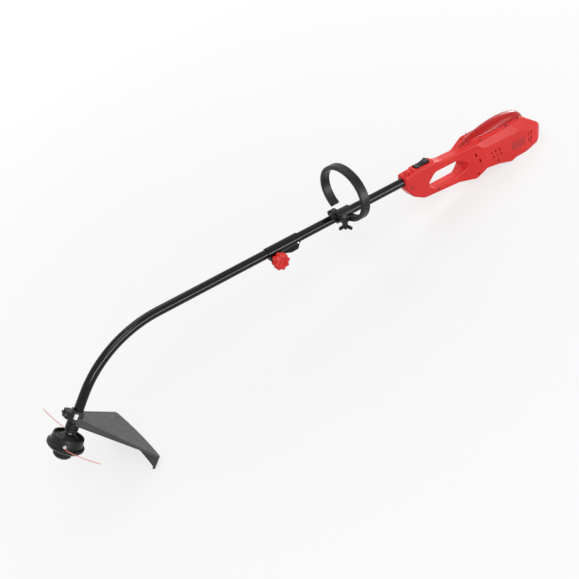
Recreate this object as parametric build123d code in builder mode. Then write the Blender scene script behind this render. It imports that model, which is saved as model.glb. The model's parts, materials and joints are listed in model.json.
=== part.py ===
from build123d import *
import os
from math import atan2, cos, degrees, hypot, radians, sin, tan

os.makedirs("parts", exist_ok=True)

# A string trimmer with a curved shaft, lying on the floor on its guard and its motor housing.
# Millimetres and degrees. X runs from the cutting head to the motor, Y to the operator's right.
# Distances along the shaft are counted from the point where the lower tube starts to bend.

# Fits
slide_fit = 0.08        # radial clearance of a piece that slides or turns on another
seat_gap = 0.05         # radial clearance of a piece that stays where it is put
free_gap = 0.4          # clearance between pieces that pass each other

# Shaft tubes
tube_od = 25.0
tube_wall = 1.5
bend_radius = 304.0
bend_angle = 52.0
tube_tail = 64.0        # straight end below the bend
tube_meet = 387.0       # where the lower tube ends inside the coupler
tube_end_gap = 0.5
tube_depth = 80.0       # length of the upper tube inside the housing

# Drive line
cable_d = 6.0
cable_pin_d = 5.0
liner_d = 10.0
drive_d = 8.0
drive_start = 396.0
socket_depth = 12.0
bush_length = 8.0

# Coupler
coupler_start = 336.0
coupler_length = 101.0
coupler_wall = 2.6
coupler_rib = 19.0      # width of the clamping rib
slit_width = 2.0
bolt_d = 6.0
knob_at = 358.0
knob_drop = 21.5
knob_d = 47.0
knob_depth = 20.0
knob_lobes = 8

# Front handle
handle_at = 590.0
clamp_length = 48.0
clamp_wall = 4.8
loop_at = 600.0
loop_width = 26.0
loop_thick = 12.0
loop_half_width = 92.5
loop_half_height = 79.0
loop_side = 11.5        # the loop stands this far to the operator's left
loop_lift = 68.0
ear_reach = 16.0
ear_thick = 6.0
boss_drop = 18.0
handle_bolt_at = 577.0
wing_reach = 19.0

# Housing
housing_front = 804.0
housing_length = 527.0
wall = 3.0
grip_half = 16.5
motor_half = 46.0
edge_round = 5.0
pad_at = 1275.0         # middle of the flat pad that the motor end stands on
pad_drop = 76.4
eye_d = 9.0
eye_wall = 6.0
eye_thick = 10.0
eye_at = 818.0
eye_lift = 25.0
eye_side = 6.0          # from the middle of the neck to the eye's inner face

# Motor, on the axis of the shaft
stator_d = 62.0
stator_bore = 38.0
stator_start = 1120.0
stator_length = 62.0
rotor_gap = 0.8
motor_shaft_d = 10.0
fan_d = 56.0
fan_start = 1107.0
commutator_d = 28.0
commutator_start = 1215.0
commutator_length = 25.0
front_bearing_at = 1094.0
rear_bearing_at = 1262.0
bearing_od = 26.0
bearing_width = 8.0

# Cutting head, measured down its axis from the end of the bend
spindle_d = 8.0
head_bearing_od = 22.0
head_bearing_width = 7.0
neck_d = 30.0
rim_depth = 115.0
rim_d = 80.0
flange_depth = 138.0
flange_d = 96.0
line_depth = 131.0
line_d = 2.0
bump_travel = 6.0
bump_d = 47.0
bump_depth = 175.0
eyelet_angle = 56.6     # of the eyelets, from the direction of the operator

# Guard
guard_reach = 201.0     # from the head axis to the guard's outer corners
guard_bulge = 10.0
guard_half = 121.0
guard_root_half = 19.0
guard_top = 59.5        # depth of the top of the plate at the head axis
guard_slope = 11.0
guard_skin = 3.0
skirt_depth = 134.0
collar_top = 46.0
collar_bottom = 72.0
collar_wall = 5.0

tube_r = tube_od / 2
tube_bore = tube_r - tube_wall
housing_rear = housing_front + housing_length
bend_x = -bend_radius * sin(radians(bend_angle))
bend_z = -bend_radius * (1 - cos(radians(bend_angle)))

# The floor touches the lower edge of the guard's skirt and the pad under the motor.
skirt_reach = guard_reach + guard_bulge
skirt_x = bend_x - skirt_depth * cos(radians(bend_angle)) + skirt_reach * sin(radians(bend_angle))
skirt_z = bend_z - skirt_depth * sin(radians(bend_angle)) - skirt_reach * cos(radians(bend_angle))
lean = degrees(atan2(skirt_z + pad_drop, pad_at - skirt_x))
shaft_dir = Vector(cos(radians(lean)), 0, sin(radians(lean)))
shaft_up = Vector(-sin(radians(lean)), 0, cos(radians(lean)))
shaft_origin = shaft_dir * -pad_at + shaft_up * pad_drop
shaft = Plane(origin=shaft_origin, x_dir=shaft_dir, z_dir=shaft_up)

head_up = shaft_dir * cos(radians(bend_angle)) + shaft_up * sin(radians(bend_angle))
head_out = shaft_dir * sin(radians(bend_angle)) - shaft_up * cos(radians(bend_angle))
head = Plane(origin=shaft.from_local_coords((bend_x, 0, bend_z)), x_dir=head_out, z_dir=head_up)


def at(along, right, up):
    """A point given along the shaft, to the operator's right and up from the shaft's axis."""
    return shaft.from_local_coords((along, right, up))


def side(right=0.0):
    """A plane beside the shaft: x along the shaft, y up, facing the operator's left."""
    return Plane(origin=at(0, right, 0), x_dir=shaft_dir, z_dir=(0, -1, 0))


def cross(along):
    """A plane across the shaft: x to the right, y up, facing the motor."""
    return Plane(origin=at(along, 0, 0), x_dir=(0, 1, 0), z_dir=shaft_dir)


def deck(up, along=0.0, right=0.0):
    """A plane over the shaft: x along the shaft, y to the right, facing up."""
    return Plane(origin=at(along, right, up), x_dir=shaft_dir, z_dir=shaft_up)


def head_at(out, right, depth):
    """A point given from the head's axis towards the operator, to the right and down the axis."""
    return head.from_local_coords((out, right, -depth))


def head_side(right=0.0):
    """A plane along the head's axis: x towards the operator, y up the axis."""
    return Plane(origin=head_at(0, right, 0), x_dir=head_out, z_dir=(0, -1, 0))


def head_disc(depth):
    """A plane across the head's axis: x towards the operator, y to the right, facing up."""
    return Plane(origin=head_at(0, 0, depth), x_dir=head_out, z_dir=head_up)


def shaft_ring(start, length, outer, bore=0.0):
    """A plain ring or rod on the shaft's axis."""
    with BuildPart() as ring:
        with BuildSketch(cross(start)):
            Circle(outer)
            if bore:
                Circle(bore, mode=Mode.SUBTRACT)
        extrude(amount=length)
    return ring.part


def head_turned(points):
    """A turned piece on the head's axis, from points of radius and depth."""
    with BuildPart() as turned:
        with BuildSketch(head_side()):
            with BuildLine():
                Polyline([(radius, -depth) for radius, depth in points], close=True)
            make_face()
        revolve(axis=Axis(head_at(0, 0, 0), head_up))
    return turned.part


pieces = {}

# Lower tube: straight, bent, and a short straight end that carries the guard and the head.

def bent_path(start, tail):
    """The tube's centre line from a point on the straight shaft to a depth below the bend."""
    tail_end = (bend_x - tail * cos(radians(bend_angle)), bend_z - tail * sin(radians(bend_angle)))
    middle = radians(bend_angle / 2)
    bend_middle = (-bend_radius * sin(middle), -bend_radius * (1 - cos(middle)))
    with BuildLine(side()) as path:
        Line((start, 0), (0, 0))
        ThreePointArc((0, 0), bend_middle, (bend_x, bend_z))
        Line((bend_x, bend_z), tail_end)
    return path.line


def bent_tube(start, tail, outer, bore):
    """A tube or rod along the bent shaft."""
    with BuildPart() as tube:
        with BuildSketch(cross(start)):
            Circle(outer)
            if bore:
                Circle(bore, mode=Mode.SUBTRACT)
        sweep(path=bent_path(start, tail))
    return tube.part


with BuildPart() as lower_tube:
    add(bent_tube(tube_meet, tube_tail, tube_r, tube_bore))
pieces["lower_tube"] = lower_tube

upper_start = tube_meet + tube_end_gap
upper_end = housing_front + tube_depth
with BuildPart() as upper_tube:
    add(shaft_ring(upper_start, upper_end - upper_start, tube_r, tube_bore))
pieces["upper_tube"] = upper_tube

# Flexible drive cable in its liner, which short bushes hold in the middle of the tube.
cable_top = drive_start - tube_end_gap
cable_tail = 48.0
with BuildPart() as lower_cable:
    add(bent_tube(cable_top, cable_tail, cable_d / 2, 0))
    add(shaft_ring(cable_top, socket_depth, cable_pin_d / 2))
    with BuildSketch(head_disc(cable_tail)):
        Circle(cable_pin_d / 2)
    extrude(amount=-socket_depth)
pieces["drive_cable"] = lower_cable

liner_top = tube_meet - 3
liner_tail = 42.0
with BuildPart() as liner:
    add(bent_tube(liner_top, liner_tail, liner_d / 2, cable_d / 2 + slide_fit))
pieces["cable_liner"] = liner

liner_bush_places = (20.0, 190.0, liner_top - bush_length)
with BuildPart() as liner_bushes:
    for place in liner_bush_places:
        add(shaft_ring(place, bush_length, tube_bore - seat_gap, liner_d / 2 + seat_gap))
    with BuildSketch(head_disc(liner_tail)):
        Circle(tube_bore - seat_gap)
        Circle(liner_d / 2 + seat_gap, mode=Mode.SUBTRACT)
    extrude(amount=bush_length)
pieces["liner_bushes"] = liner_bushes

# Coupler: a sleeve on the upper tube with a slit clamping rib under it.
coupler_end = coupler_start + coupler_length
sleeve_r = tube_r + slide_fit + coupler_wall
rib_outline = [
    (coupler_start + 5, 0),
    (coupler_start + 5, -knob_drop - 3),
    (knob_at - 6, -knob_drop - 8),
    (knob_at + 8, -knob_drop - 8),
    (knob_at + 28, -knob_drop + 2),
    (coupler_end - 30, -knob_drop - 6),
    (coupler_end - 8, -knob_drop - 5),
    (coupler_end - 1, -knob_drop + 9),
    (coupler_end - 1, 0),
]
screw_d = 6.0
coupler_screw_at = (coupler_end - 9, -4)
coupler_screw_seat = sleeve_r - 0.6
with BuildPart() as coupler_body:
    add(shaft_ring(coupler_start, coupler_length, sleeve_r))
    with BuildSketch(side()):
        with BuildLine():
            FilletPolyline(rib_outline, radius=[0, 4, 4, 8, 10, 8, 6, 5, 0], close=True)
        make_face()
    extrude(amount=coupler_rib / 2, both=True)
    add(shaft_ring(coupler_start - 1, coupler_length + 2, tube_r + slide_fit), mode=Mode.SUBTRACT)
    with BuildSketch(side()):
        with Locations((knob_at - 10, -knob_drop)):
            Rectangle(2 * (knob_at - 10 - coupler_start) + 64, 2 * knob_drop)
    extrude(amount=slit_width / 2, both=True, mode=Mode.SUBTRACT)
    with BuildSketch(side()):
        with Locations((knob_at, -knob_drop)):
            Circle(bolt_d / 2 + seat_gap)
    extrude(amount=coupler_rib, both=True, mode=Mode.SUBTRACT)
    with BuildSketch(side(-coupler_screw_seat)):
        with Locations(coupler_screw_at):
            Circle(screw_d / 2 + seat_gap)
    extrude(amount=5, mode=Mode.SUBTRACT)
pieces["coupler_body"] = coupler_body

knob_gap = 0.3
knob_hub = 9.0
knob_start = -coupler_rib / 2 - knob_gap
bolt_tip = knob_start - knob_hub - knob_depth * 0.5
with BuildPart() as coupler_bolt:
    with BuildSketch(side(coupler_rib / 2 + 4.5)):
        with Locations((knob_at, -knob_drop)):
            RegularPolygon(5.5, 6)
    extrude(amount=4.5)
    with BuildSketch(side(coupler_rib / 2)):
        with Locations((knob_at, -knob_drop)):
            Circle(bolt_d / 2)
    extrude(amount=coupler_rib / 2 - bolt_tip)
pieces["coupler_bolt"] = coupler_bolt

lobe_r = 5.5
with BuildPart() as coupler_knob:
    with BuildSketch(side(knob_start)):
        with Locations((knob_at, -knob_drop)):
            Circle(9)
    extrude(amount=knob_hub, taper=-4)
    with BuildSketch(side(knob_start - knob_hub)):
        with Locations((knob_at, -knob_drop)):
            Circle(knob_d / 2 - lobe_r + 1.5)
            with PolarLocations(knob_d / 2 - lobe_r, knob_lobes):
                Circle(lobe_r)
    extrude(amount=knob_depth)
    outer_face = coupler_knob.faces().sort_by(Axis.Y)[0]
    fillet(outer_face.edges(), radius=3)
    with BuildSketch(side(knob_start - knob_hub - knob_depth)):
        with Locations((knob_at, -knob_drop)):
            Circle(10)
    extrude(amount=-2, taper=10, mode=Mode.SUBTRACT)
    with BuildSketch(side(knob_start)):
        with Locations((knob_at, -knob_drop)):
            Circle(bolt_d / 2 + slide_fit)
    extrude(amount=knob_start - bolt_tip + 1, mode=Mode.SUBTRACT)
pieces["coupler_knob"] = coupler_knob

# A screw through the end of the coupler's sleeve holds the upper tube.
with BuildPart() as coupler_screw:
    with BuildSketch(side(-coupler_screw_seat)):
        with Locations(coupler_screw_at):
            Circle(screw_d / 2)
    extrude(amount=3)
    fillet(coupler_screw.faces().sort_by(Axis.Y)[0].edges(), radius=1.2)
pieces["coupler_screw"] = coupler_screw

# Drive shaft, in bushes inside the upper tube, up to the motor's coupling.
motor_coupling_start = 1046.0
motor_coupling_length = 38.0
drive_end = motor_coupling_start + motor_coupling_length / 2 - 0.5
with BuildPart() as drive_shaft:
    add(shaft_ring(drive_start, drive_end - drive_start, drive_d / 2))
    add(shaft_ring(drive_start, socket_depth + 1, cable_pin_d / 2 + slide_fit), mode=Mode.SUBTRACT)
pieces["drive_shaft"] = drive_shaft

bush_places = (drive_start + 12, handle_at + 40, upper_end - bush_length)
with BuildPart() as shaft_bushes:
    for place in bush_places:
        add(shaft_ring(place, bush_length, tube_bore - seat_gap, drive_d / 2 + slide_fit))
pieces["shaft_bushes"] = shaft_bushes

with BuildPart() as motor_coupling:
    add(shaft_ring(motor_coupling_start, motor_coupling_length, 8.5))
    add(shaft_ring(motor_coupling_start - 1, motor_coupling_length / 2 + 1, drive_d / 2 + seat_gap),
        mode=Mode.SUBTRACT)
    add(shaft_ring(motor_coupling_start + motor_coupling_length / 2, motor_coupling_length,
                   motor_shaft_d / 2 + seat_gap), mode=Mode.SUBTRACT)
pieces["motor_coupling"] = motor_coupling

# Front handle: an open loop whose root is the lower half of a clamp on the upper tube.
clamp_start = handle_at - clamp_length / 2
clamp_r = tube_r + slide_fit + clamp_wall
clamp_split = 0.5
bolt_side = clamp_r + ear_reach / 2
ear_length = 24.0
loop_inner_w = loop_half_width - loop_thick
loop_inner_h = loop_half_height - loop_thick
free_end = (45.0, 6.0)
sweep_out = 3.0
with BuildPart() as loop_handle:
    with BuildSketch(cross(loop_at - loop_width / 2)):
        with Locations((-loop_side, loop_lift)):
            Ellipse(loop_half_width, loop_half_height)
            Ellipse(loop_inner_w, loop_inner_h, mode=Mode.SUBTRACT)
        with BuildLine():
            Polyline(
                (-loop_side, loop_lift),
                (-loop_side + sweep_out * (free_end[0] + loop_side),
                 loop_lift + sweep_out * (free_end[1] - loop_lift)),
                (-tube_r, loop_lift + sweep_out * (free_end[1] - loop_lift)),
                close=True,
            )
        make_face(mode=Mode.SUBTRACT)
    extrude(amount=loop_width)
    long_edges = loop_handle.edges().filter_by(GeomType.LINE, reverse=True)
    fillet(long_edges, radius=3.5)
    with BuildSketch(cross(clamp_start)):
        Circle(clamp_r)
        with Locations((-bolt_side, -ear_thick / 2)):
            Rectangle(ear_reach + 4, ear_thick)
        with Locations((bolt_side, -ear_thick / 2)):
            Rectangle(ear_reach + 4, ear_thick)
    extrude(amount=ear_length)
    with BuildSketch(cross(clamp_start + ear_length)):
        Circle(clamp_r)
    extrude(amount=clamp_length - ear_length)
    with BuildSketch(deck(-boss_drop, handle_bolt_at, -bolt_side)):
        Circle(8)
    extrude(amount=boss_drop)
    with BuildSketch(deck(-clamp_split)):
        with Locations((handle_at, 0)):
            Rectangle(clamp_length + 2, 2 * clamp_r + 0.2)
        with Locations((clamp_start + ear_length / 2, 0)):
            Rectangle(ear_length + 2, 2 * (bolt_side + ear_reach))
    extrude(amount=2 * clamp_r, mode=Mode.SUBTRACT)
    add(shaft_ring(clamp_start - 1, clamp_length + 2, tube_r + slide_fit), mode=Mode.SUBTRACT)
    with BuildSketch(deck(0)):
        with Locations((handle_bolt_at, -bolt_side), (handle_bolt_at, bolt_side)):
            Circle(bolt_d / 2 + seat_gap)
    extrude(amount=60, both=True, mode=Mode.SUBTRACT)
pieces["loop_handle"] = loop_handle

with BuildPart() as handle_cap:
    with BuildSketch(cross(clamp_start)):
        Circle(clamp_r)
        with Locations((-bolt_side, ear_thick / 2)):
            Rectangle(ear_reach + 4, ear_thick)
        with Locations((bolt_side, ear_thick / 2)):
            Rectangle(ear_reach + 4, ear_thick)
    extrude(amount=ear_length)
    with BuildSketch(cross(clamp_start + ear_length)):
        Circle(clamp_r)
    extrude(amount=clamp_length - ear_length)
    with BuildSketch(deck(clamp_split)):
        with Locations((handle_at, 0)):
            Rectangle(clamp_length + 20, 200)
    extrude(amount=-100, mode=Mode.SUBTRACT)
    add(shaft_ring(clamp_start - 1, clamp_length + 2, tube_r + slide_fit), mode=Mode.SUBTRACT)
    with BuildSketch(deck(0)):
        with Locations((handle_bolt_at, -bolt_side), (handle_bolt_at, bolt_side)):
            Circle(bolt_d / 2 + seat_gap)
    extrude(amount=60, both=True, mode=Mode.SUBTRACT)
pieces["handle_cap"] = handle_cap

nut_gap = 0.3
nut_height = 9.0
bolt_head_r = 6.5
with BuildPart() as handle_bolt:
    with BuildSketch(deck(ear_thick, handle_bolt_at, -bolt_side)):
        Circle(bolt_head_r)
    extrude(amount=4)
    fillet(handle_bolt.faces().sort_by(Axis.Z)[-1].edges(), radius=2.5)
    with BuildSketch(deck(ear_thick, handle_bolt_at, -bolt_side)):
        Circle(bolt_d / 2)
    extrude(amount=-(ear_thick + boss_drop + nut_height + 5))
pieces["handle_bolt"] = handle_bolt

with BuildPart() as handle_screw:
    with BuildSketch(deck(ear_thick, handle_bolt_at, bolt_side)):
        Circle(bolt_head_r)
    extrude(amount=4)
    fillet(handle_screw.faces().sort_by(Axis.Z)[-1].edges(), radius=2.5)
    with BuildSketch(deck(ear_thick, handle_bolt_at, bolt_side)):
        Circle(bolt_d / 2)
    extrude(amount=-(2 * ear_thick))
    with BuildSketch(deck(-ear_thick, handle_bolt_at, bolt_side)):
        RegularPolygon(5.5, 6)
    extrude(amount=-5)
pieces["handle_screw"] = handle_screw

nut_top = -boss_drop - nut_gap
with BuildPart() as wing_nut:
    with BuildSketch(deck(nut_top, handle_bolt_at, -bolt_side)):
        Circle(6.8)
    extrude(amount=-nut_height, taper=4)
    wing_plane = Plane(origin=at(handle_bolt_at, -bolt_side, nut_top), x_dir=shaft_dir - Vector(0, 1, 0),
                       z_dir=shaft_dir * -1 - Vector(0, 1, 0))
    wing_outline = [(3, -1), (3, -nut_height), (wing_reach - 4, -nut_height - 7),
                    (wing_reach, -nut_height - 4), (wing_reach - 1, -nut_height + 2), (8, -1)]
    with BuildSketch(wing_plane):
        with BuildLine():
            FilletPolyline(wing_outline, radius=[0, 0, 2, 2, 3, 2], close=True)
        make_face()
        mirror(about=Plane.YZ)
    extrude(amount=2, both=True)
    with BuildSketch(deck(nut_top + 1, handle_bolt_at, -bolt_side)):
        Circle(bolt_d / 2 + slide_fit)
    extrude(amount=-40, mode=Mode.SUBTRACT)
pieces["wing_nut"] = wing_nut

# Housing: two moulded halves around the tube, the grip and the motor.
f = housing_front
neck_half = tube_r + 6.5
rear = housing_rear
pad_rise = tan(radians(-lean))
pad_half = 20.0
hood_at = f + 256
hood_z = 20.5
hood_rise = 1.2
hood_lift = hood_z + 190 * tan(radians(hood_rise))
outline = [
    (f, neck_half), (f + 34, neck_half + 3), (f + 108, neck_half + 3), (f + 136, 14), (f + 196, 12),
    (f + 250, hood_z + 1.5), (f + 446, hood_lift + 2), (rear - 63, 14), (rear - 33, -4), (rear - 11, -22),
    (rear, -38), (rear - 15, -60), (pad_at + pad_half, -pad_drop + pad_half * pad_rise),
    (pad_at - pad_half, -pad_drop - pad_half * pad_rise), (f + 400, -82), (f + 384, -88), (f + 332, -74),
    (f + 284, -67), (f + 252, -90), (f + 66, -76), (f + 24, -52), (f, -neck_half),
]
outline_r = [6, 30, 12, 60, 60, 8, 12, 30, 40, 20, 12, 20, 4, 30, 8, 12, 25, 14, 14, 45, 40, 6]
plan = [(f, neck_half), (f + 90, grip_half), (f + 200, grip_half), (f + 274, motor_half - 2),
        (f + 440, motor_half), (rear - 30, motor_half - 6), (rear - 2, 20)]
plan_r = [5, 60, 45, 40, 60, 25, 14]
plan_full = plan + [(x, -y) for x, y in reversed(plan)]
plan_full_r = plan_r + plan_r[::-1]
bevel = [(motor_half + 1, -3), (36.5, 19.5), (33.5, 26), (33.5, 60), (motor_half + 24, 60),
         (motor_half + 24, -3)]


def shoulder_plane(way):
    """The facet at a rear shoulder of the housing, facing out; way is 1 on the right and -1 on the left."""
    high = at(f + 396, way * 35, 22)
    back = at(f + 459, way * 22, 22)
    low = at(f + 496, way * motor_half, -25)
    return Plane(origin=back, x_dir=back - high, z_dir=(back - high).cross(low - high) * way)


def housing_block(inset, soft=0.0):
    """The housing's body: its side view and its plan, each drawn in by the inset, where they meet."""
    with BuildPart() as block:
        with BuildSketch(side()):
            with BuildLine():
                FilletPolyline(outline, radius=outline_r, close=True)
            make_face()
            if inset:
                offset(amount=-inset, kind=Kind.INTERSECTION, mode=Mode.REPLACE)
        extrude(amount=motor_half + 10, both=True)
        with BuildSketch(deck(0)):
            with BuildLine():
                FilletPolyline(plan_full, radius=plan_full_r, close=True)
            make_face()
            if inset:
                offset(amount=-inset, kind=Kind.INTERSECTION, mode=Mode.REPLACE)
        extrude(amount=130, both=True, mode=Mode.INTERSECT)
        if soft:
            fillet(block.edges(), radius=soft)
        with BuildSketch(cross(f + 235)):
            with BuildLine():
                Polyline([(x - 1.12 * inset, z) for x, z in bevel], close=True)
            make_face()
            mirror(about=Plane.YZ)
        extrude(amount=housing_length, mode=Mode.SUBTRACT)
        for way in (-1, 1):
            with BuildSketch(shoulder_plane(way).offset(-inset)):
                Rectangle(400, 400)
            extrude(amount=120, mode=Mode.SUBTRACT)
    return block.part


# The hood closes the top of the motor on a plane that rises a little to the rear.
hood_flange = 8.0
hood_inset = 1.5
hood_dir = shaft_dir * cos(radians(hood_rise)) + shaft_up * sin(radians(hood_rise))
hood_normal = shaft_up * cos(radians(hood_rise)) - shaft_dir * sin(radians(hood_rise))
hood_plane = Plane(origin=at(hood_at, 0, hood_z), x_dir=hood_dir, z_dir=hood_normal)
hood_plan = [(-10, 28), (22, 33), (130, 32), (170, 26), (190, 14)]
hood_plan_full = [(x, -y) for x, y in hood_plan] + hood_plan[::-1]
hood_plan_r = [12, 60, 60, 20, 11, 11, 20, 60, 60, 12]
hood_axis_lift = 4.0
hood_profile = [(-8, 3), (6, 9), (32, 16), (66, 22.5), (108, 24), (146, 22), (176, 15), (188, 6)]
hood_skin = 2.5
hood_sink = 2.0
hood_boss = 4.2
hood_screw_places = [(20, 29.5), (123, 28.7), (123, -28.7), (20, -29.5)]


def hood_outline(grow=0.0):
    """The outline of the hood's flange on the parting plane, grown or drawn in."""
    with BuildSketch(hood_plane) as flange_outline:
        with BuildLine():
            FilletPolyline(hood_plan_full, radius=hood_plan_r, close=True)
        make_face()
        if grow:
            offset(amount=grow, mode=Mode.REPLACE)
    return flange_outline.sketch


def hood_dome(inset):
    """The hood's bulge, turned about a line along the hood."""
    start, end = hood_profile[0], hood_profile[-1]
    axis_point = hood_plane.from_local_coords((0, 0, hood_axis_lift))
    with BuildPart() as dome:
        with BuildSketch(Plane(origin=axis_point, x_dir=hood_dir, z_dir=(0, -1, 0))):
            with BuildLine():
                Spline([(x, y - inset) for x, y in hood_profile])
                Polyline((end[0], end[1] - inset), (end[0], 0), (start[0], 0), (start[0], start[1] - inset))
            make_face()
        revolve(axis=Axis(axis_point, hood_dir))
    return dome.part


opening = [(f + 80, -41), (f + 110, -12), (f + 196, -13), (f + 240, -36), (f + 198, -60), (f + 100, -60)]
opening_r = [14, 22, 40, 12, 24, 18]
opening_round = 4.0
bezel_at = f + 73
bezel_length = 78.0
bezel_width = 30.0
bezel_top = neck_half + 7
switch_length = 50.0
switch_width = 20.0
slot_width = 4.2
slots = [(f + 251, -12, 13, 107), (f + 262, -33, 13, 107)]
slots += [(f + 322 + 15 * row - 3 * way, -33 + 8 * way, 9, 107) for row in (-1, 0, 1) for way in (-1, 1)]
slots += [(f + 455 + 11 * row, -35 + 9 * way, 14, 78) for row in (0, 1) for way in (-1, 1)]
screw_places = [(f + 20, -20, 14), (f + 117, -69, 12), (f + 256, -74, 24), (f + 330, -60, 38),
                (rear - 62, -58, 38)]
screw_boss = 5.5
screw_head = 3.5
inlet_z = -38.0
inlet_size = (30.0, 22.0)
brush_at = commutator_start + commutator_length / 2
brush_wall = 12.0
rib_places = [(f + 1, 6), (f + 68, 8), (front_bearing_at - 4, 13), (stator_start + 8, 5),
              (stator_start + stator_length - 13, 5), (brush_at - brush_wall / 2, brush_wall),
              (rear_bearing_at - 3, 14)]
pivot_z = bezel_top - 3.5
pivot_r = 2.0
switch_body_length = 54.0
switch_body_half = 9.0
switch_body_low = 4.0
switch_body_high = pivot_z - 4.3
holder_inner = commutator_d / 2 + 5
holder_outer = 40.0
holder_size = (8.0, 12.0)
brush_size = (6.0, 8.0)
label_plan = [(f + 383, -52), (f + 383, -26), (f + 436, -26), (f + 436, -52)]
label_thick = 0.8


def label_sheet(grow):
    """A sheet of the housing's left skin, in the outline of the bare label."""
    with BuildPart() as sheet:
        with BuildSketch(side(-motor_half + 8)):
            with BuildLine():
                FilletPolyline(label_plan, radius=3, close=True)
            make_face()
            if grow:
                offset(amount=grow, mode=Mode.REPLACE)
        extrude(amount=20)
        add(housing_block(0), mode=Mode.INTERSECT)
        add(housing_block(label_thick), mode=Mode.SUBTRACT)
    return sheet.part


def switch_block(grow):
    """The switch under the rocker, saddled over the end of the upper tube."""
    with BuildPart() as block:
        with BuildSketch(deck(switch_body_low - grow, bezel_at + 1)):
            Rectangle(switch_body_length + 2 * grow, 2 * switch_body_half + 2 * grow)
        extrude(amount=switch_body_high - switch_body_low + 2 * grow)
    return block.part


def brush_holes(low, high, size, grow):
    """Two rectangular bars across the shaft, one on each side of the commutator."""
    with BuildPart() as bars:
        for way in (-1, 1):
            with BuildSketch(side(-way * low)):
                with Locations((brush_at, 0)):
                    Rectangle(size[0] + 2 * grow, size[1] + 2 * grow)
            extrude(amount=way * (high - low))
    return bars.part


def boss_columns(radius):
    """Columns for the housing screws, right across the housing."""
    with BuildPart() as columns:
        with BuildSketch(side()):
            with Locations([(x, z) for x, z, depth in screw_places]):
                Circle(radius)
        extrude(amount=motor_half + 10, both=True)
    return columns.part


def opening_prism(grow):
    """The hand opening, right across the housing."""
    with BuildPart() as prism:
        with BuildSketch(side()):
            with BuildLine():
                FilletPolyline(opening, radius=opening_r, close=True)
            make_face()
            if grow:
                offset(amount=grow, mode=Mode.REPLACE)
        extrude(amount=motor_half + 20, both=True)
    return prism.part


# The hollow inside the housing: walls, ribs, screw columns and the wall of the opening stay.
with BuildPart() as hollow:
    add(housing_block(wall))
    add(opening_prism(wall), mode=Mode.SUBTRACT)
    add(boss_columns(screw_boss), mode=Mode.SUBTRACT)
    for start, thick in rib_places:
        with BuildSketch(cross(start)):
            Rectangle(4 * motor_half, 4 * motor_half)
        extrude(amount=thick, mode=Mode.SUBTRACT)
    extrude(hood_outline(hood_inset + wall), amount=-hood_sink - wall - 2, mode=Mode.SUBTRACT)
    with BuildSketch(hood_plane):
        with Locations(hood_screw_places):
            Circle(4.5)
    extrude(amount=-18, mode=Mode.SUBTRACT)

with BuildPart() as shell:
    add(housing_block(0, edge_round))
    with BuildSketch(deck(bezel_top - 8, bezel_at)):
        RectangleRounded(bezel_length, bezel_width, 6)
    extrude(amount=8, taper=8)
    add(opening_prism(0), mode=Mode.SUBTRACT)
    fillet(shell.edges(Select.LAST).filter_by(Axis.Y, reverse=True), radius=opening_round)
    add(hollow.part, mode=Mode.SUBTRACT)
    # seat of the hood's flange, and the open top under the hood
    extrude(hood_outline(hood_inset), amount=40, mode=Mode.SUBTRACT)
    extrude(hood_outline(hood_inset), amount=-hood_sink, mode=Mode.SUBTRACT)
    extrude(hood_outline(-7), amount=-14, mode=Mode.SUBTRACT)
    # seats on the axis of the shaft
    add(shaft_ring(f - 1, tube_depth + 1 + free_gap, tube_r + seat_gap), mode=Mode.SUBTRACT)
    add(shaft_ring(upper_end, front_bearing_at - upper_end, 7.5), mode=Mode.SUBTRACT)
    add(shaft_ring(front_bearing_at, 9, bearing_od / 2 + seat_gap), mode=Mode.SUBTRACT)
    add(shaft_ring(front_bearing_at + 8, stator_start - front_bearing_at - 8, fan_d / 2 + 2),
        mode=Mode.SUBTRACT)
    add(shaft_ring(stator_start - 1, stator_length + 15, stator_d / 2 + seat_gap), mode=Mode.SUBTRACT)
    add(shaft_ring(rear_bearing_at - 4, bearing_width + 4, bearing_od / 2 + seat_gap), mode=Mode.SUBTRACT)
    add(shaft_ring(rear_bearing_at, 24, motor_shaft_d / 2 + 1), mode=Mode.SUBTRACT)
    add(shaft_ring(commutator_start - 2, commutator_length + 4, commutator_d / 2 + 3), mode=Mode.SUBTRACT)
    add(brush_holes(holder_inner - 4, holder_outer, holder_size, seat_gap), mode=Mode.SUBTRACT)
    # switch, label, inlet, vents and screw holes
    add(switch_block(seat_gap), mode=Mode.SUBTRACT)
    with BuildSketch(side()):
        with Locations((bezel_at, pivot_z)):
            Circle(pivot_r + slide_fit)
    extrude(amount=switch_width / 2 + 2.5, both=True, mode=Mode.SUBTRACT)
    add(label_sheet(seat_gap), mode=Mode.SUBTRACT)
    with BuildSketch(hood_plane):
        with Locations(hood_screw_places):
            Circle(1.5 + seat_gap)
    extrude(amount=-16, mode=Mode.SUBTRACT)
    with BuildSketch(deck(bezel_top + 1, bezel_at)):
        Rectangle(switch_length + 2 * free_gap, switch_width + 2 * free_gap)
    extrude(amount=-11, mode=Mode.SUBTRACT)
    with BuildSketch(cross(rear + 5)):
        with Locations((0, inlet_z)):
            Rectangle(*inlet_size)
    extrude(amount=-36, mode=Mode.SUBTRACT)
    with BuildSketch(side()):
        for x, z, length, tilt in slots:
            with Locations((x, z)):
                SlotOverall(length, slot_width, rotation=tilt)
    extrude(amount=motor_half + 10, both=True, mode=Mode.SUBTRACT)
    for x, z, depth in screw_places:
        with BuildSketch(side(-depth)):
            with Locations((x, z)):
                Circle(screw_head + 0.2)
        extrude(amount=60, mode=Mode.SUBTRACT)
        with BuildSketch(side(-depth)):
            with Locations((x, z)):
                Circle(2 + seat_gap)
        extrude(amount=-(depth + 9), mode=Mode.SUBTRACT)

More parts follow.
